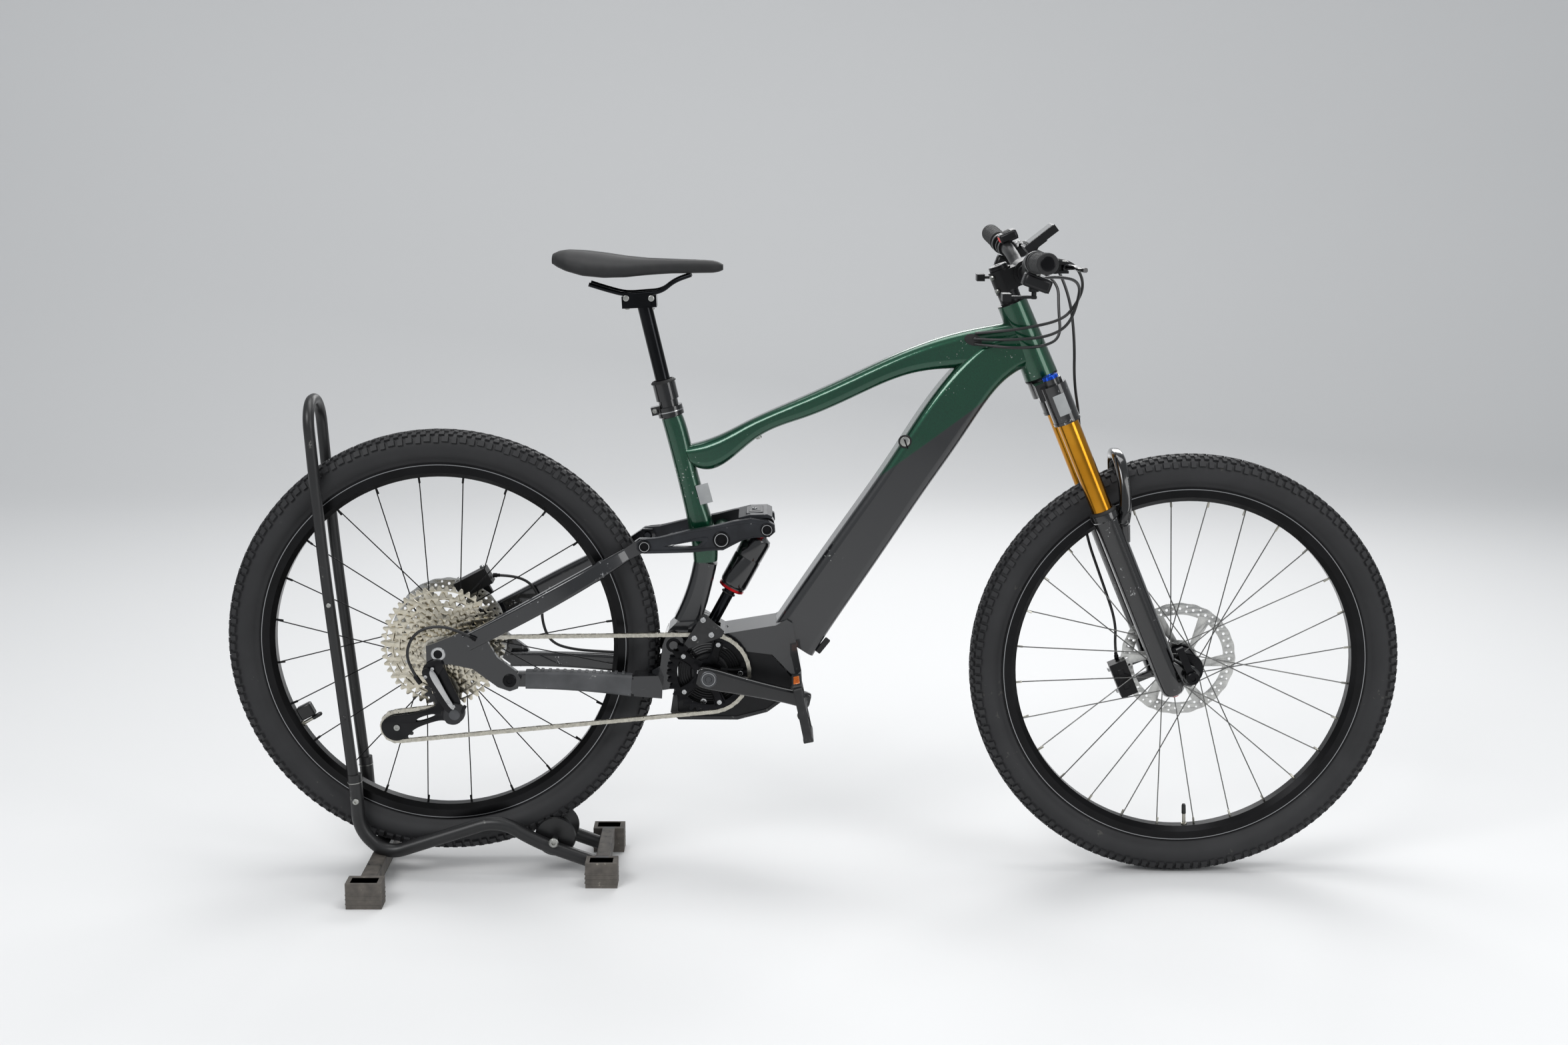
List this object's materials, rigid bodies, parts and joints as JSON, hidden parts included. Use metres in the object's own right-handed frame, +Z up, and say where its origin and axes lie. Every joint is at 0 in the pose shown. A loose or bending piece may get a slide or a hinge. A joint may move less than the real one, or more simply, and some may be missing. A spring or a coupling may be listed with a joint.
{
  "type": "bicycle on stand",
  "caption": "Full-suspension electric mountain bicycle with its rear wheel held in a tubular floor stand with a roller and rubber feet.",
  "frame": {"origin": "on the floor, midway between the wheel axles and in the wheel plane", "axes": "+X towards the front wheel, +Y to the rider's left, +Z up"},
  "size_m": [2.026, 0.788, 1.1334],
  "materials": {
    "frame_paint": "deep green metallic gloss over a blue-black lower frame",
    "black_paint": "gloss black paint",
    "stand_paint": "black satin powder coat, scuffed",
    "black_anodised": "black anodised aluminium",
    "charcoal_link": "satin charcoal anodised forging",
    "gold_stanchion": "polished gold hard coat",
    "silver": "bright nickel plate",
    "steel": "brushed stainless steel",
    "black_spoke": "black coated wire",
    "tyre": "block tread, smooth sidewall",
    "rubber": "moulded rubber",
    "grey_rubber": "dusty grey rubber feet",
    "plastic": "fine grained black plastic",
    "gloss_plastic": "smooth black plastic",
    "saddle_cover": "matte black synthetic cover"
  },
  "bodies": {
    "stand": {"stand_base": "stand_paint", "stand_hoop": "stand_paint", "stand_feet": "grey_rubber"},
    "roller": {"stand_roller": "plastic"},
    "rear_end": {"seatstay_right": "black_paint", "seatstay_left": "black_paint", "rear_axle": "black_anodised", "rear_caliper": "black_anodised", "derailleur_body": "black_anodised"},
    "rear_wheel": {"rear_tyre": "tyre", "rear_rim": "black_anodised", "rear_hub": "black_anodised", "rear_spokes": "black_spoke", "rear_rotor": "steel"},
    "cassette": {"cassette": "silver"},
    "cage": {"derailleur_cage": "black_anodised"},
    "upper_jockey": {"upper_jockey_wheel": "plastic"},
    "lower_jockey": {"lower_jockey_wheel": "plastic"},
    "chainstay": {"chainstay": "black_paint", "chainstay_protector": "rubber"},
    "frame": {"front_frame": "frame_paint", "down_tube": "frame_paint", "battery": "plastic", "seat_tube": "frame_paint", "drive_unit": "plastic", "motor_cover": "plastic", "dropper_outer": "black_anodised", "chain": "silver", "rear_brake_hose": "rubber", "control_cables": "rubber"},
    "rocker": {"rocker_link": "charcoal_link"},
    "shock_shaft": {"shock_shaft": "black_anodised"},
    "shock_can": {"shock_air_can": "black_anodised"},
    "seat": {"dropper_stanchion": "black_anodised", "saddle_rails": "steel", "saddle": "saddle_cover"},
    "cranks": {"crank_arms": "black_anodised", "chainring": "black_anodised"},
    "pedal_right": {"pedal_right": "plastic"},
    "pedal_left": {"pedal_left": "plastic"},
    "steering": {"fork_crown": "black_paint", "fork_stanchions": "gold_stanchion", "stem": "black_anodised", "handlebar": "black_anodised", "grips": "rubber", "bar_controls": "gloss_plastic", "display": "gloss_plastic", "front_brake_hose": "rubber"},
    "brake_lever_right": {"brake_lever_right": "black_anodised"},
    "brake_lever_left": {"brake_lever_left": "black_anodised"},
    "shift_paddle": {"shift_paddle": "plastic"},
    "dropper_paddle": {"dropper_paddle": "plastic"},
    "fork_lowers": {"fork_lowers": "black_paint", "front_caliper": "black_anodised"},
    "axle": {"front_axle": "black_anodised"},
    "front_wheel": {"front_tyre": "tyre", "front_rim": "black_anodised", "front_hub": "black_anodised", "front_spokes": "steel", "front_rotor": "steel"}
  },
  "joints": [
    {"name": "lift_out", "type": "slide", "parent": "stand", "child": "rear_end", "axis": [0.7071, 0, 0.7071], "range_m": [0, 0.6]},
    {"name": "roller_spin", "type": "hinge", "parent": "stand", "child": "roller", "pos_m": [-0.4525, 0, 0.067], "axis": [0, 1, 0], "continuous": true},
    {"name": "rear_wheel_spin", "type": "hinge", "parent": "rear_end", "child": "rear_wheel", "pos_m": [-0.6405, 0, 0.41], "axis": [0, 1, 0], "continuous": true},
    {"name": "cassette_spin", "type": "hinge", "parent": "rear_end", "child": "cassette", "pos_m": [-0.6405, 0, 0.41], "axis": [0, 1, 0], "continuous": true},
    {"name": "cage_swing", "type": "hinge", "parent": "rear_end", "child": "cage", "pos_m": [-0.6165, -0.0678, 0.302], "axis": [0, 1, 0], "range_deg": [-30, 0], "stiffness_Nm_per_rad": 1.5, "springref_deg": 57.3},
    {"name": "upper_jockey_spin", "type": "hinge", "parent": "cage", "child": "upper_jockey", "pos_m": [-0.6385, -0.0678, 0.341], "axis": [0, 1, 0], "continuous": true},
    {"name": "lower_jockey_spin", "type": "hinge", "parent": "cage", "child": "lower_jockey", "pos_m": [-0.7155, -0.0678, 0.278], "axis": [0, 1, 0], "continuous": true},
    {"name": "horst_pivot", "type": "hinge", "parent": "rear_end", "child": "chainstay", "pos_m": [-0.5205, 0, 0.364], "axis": [0, 1, 0], "range_deg": [0, 19]},
    {"name": "suspension", "type": "hinge", "parent": "chainstay", "child": "frame", "pos_m": [-0.2435, 0, 0.417], "axis": [0, -1, 0], "range_deg": [0, 25], "stiffness_Nm_per_rad": 250, "springref_deg": -57.3, "deforming": ["chain", "rear_brake_hose", "control_cables"]},
    {"name": "rocker_pivot", "type": "hinge", "parent": "frame", "child": "rocker", "pos_m": [-0.1615, 0, 0.604], "axis": [0, 1, 0], "range_deg": [0, 44.1]},
    {"name": "shock_tilt", "type": "hinge", "parent": "frame", "child": "shock_shaft", "pos_m": [-0.1835, 0, 0.4373], "axis": [0, 1, 0], "range_deg": [0, 8.3]},
    {"name": "shock_stroke", "type": "slide", "parent": "shock_shaft", "child": "shock_can", "axis": [-0.4724, 0, -0.8814], "range_m": [0, 0.0535]},
    {"name": "dropper_post", "type": "slide", "parent": "frame", "child": "seat", "axis": [0.232, 0, -0.9727], "range_m": [0, 0.12]},
    {"name": "crank_spin", "type": "hinge", "parent": "frame", "child": "cranks", "pos_m": [-0.1825, 0, 0.37], "axis": [0, 1, 0], "continuous": true},
    {"name": "steering", "type": "hinge", "parent": "frame", "child": "steering", "pos_m": [0.37806, 0, 0.87816], "axis": [-0.3907, 0, 0.9205], "range_deg": [-60, 60]},
    {"name": "brake_lever_right", "type": "hinge", "parent": "steering", "child": "brake_lever_right", "pos_m": [0.375, -0.25327, 1.07013], "axis": [0, 0, -1], "range_deg": [0, 17], "stiffness_Nm_per_rad": 1.2, "springref_deg": -22.92},
    {"name": "brake_lever_left", "type": "hinge", "parent": "steering", "child": "brake_lever_left", "pos_m": [0.375, 0.25327, 1.07013], "axis": [0, 0, 1], "range_deg": [0, 17], "stiffness_Nm_per_rad": 1.2, "springref_deg": -22.92},
    {"name": "shift_paddle", "type": "hinge", "parent": "steering", "child": "shift_paddle", "pos_m": [0.3362, -0.19738, 1.02784], "axis": [0, 0, 1], "range_deg": [0, 22], "stiffness_Nm_per_rad": 0.6, "springref_deg": -22.92},
    {"name": "dropper_paddle", "type": "hinge", "parent": "steering", "child": "dropper_paddle", "pos_m": [0.3362, 0.19738, 1.02784], "axis": [0, 0, -1], "range_deg": [0, 22], "stiffness_Nm_per_rad": 0.6, "springref_deg": -22.92},
    {"name": "fork_travel", "type": "slide", "parent": "steering", "child": "fork_lowers", "axis": [-0.3907, 0, 0.9205], "range_m": [0, 0.16], "stiffness_N_per_m": 3000, "springref_m": -0.1, "deforming": ["front_brake_hose"]},
    {"name": "front_wheel_spin", "type": "hinge", "parent": "fork_lowers", "child": "front_wheel", "pos_m": [0.6405, 0, 0.3725], "axis": [0, 1, 0], "continuous": true},
    {"name": "axle_lever", "type": "hinge", "parent": "fork_lowers", "child": "axle", "pos_m": [0.6405, 0, 0.3725], "axis": [0, 1, 0], "range_deg": [0, 60]},
    {"name": "pedal_spin_right", "type": "hinge", "parent": "cranks", "child": "pedal_right", "pos_m": [-0.02417, -0.14, 0.33571], "axis": [0, 1, 0], "continuous": true},
    {"name": "pedal_spin_left", "type": "hinge", "parent": "cranks", "child": "pedal_left", "pos_m": [-0.34083, 0.14, 0.40429], "axis": [0, 1, 0], "continuous": true}
  ],
  "couplings": [
    {"joint": "horst_pivot", "follows": "suspension", "ratio": 0.7512},
    {"joint": "rocker_pivot", "follows": "suspension", "ratio": 1.7613},
    {"joint": "shock_tilt", "follows": "suspension", "ratio": 0.3303},
    {"joint": "shock_stroke", "follows": "suspension", "m_per_rad": 0.12208},
    {"joint": "cassette_spin", "follows": "crank_spin", "ratio": 2.8333},
    {"joint": "upper_jockey_spin", "follows": "crank_spin", "ratio": -2.6154},
    {"joint": "lower_jockey_spin", "follows": "crank_spin", "ratio": 2.6154}
  ]
}
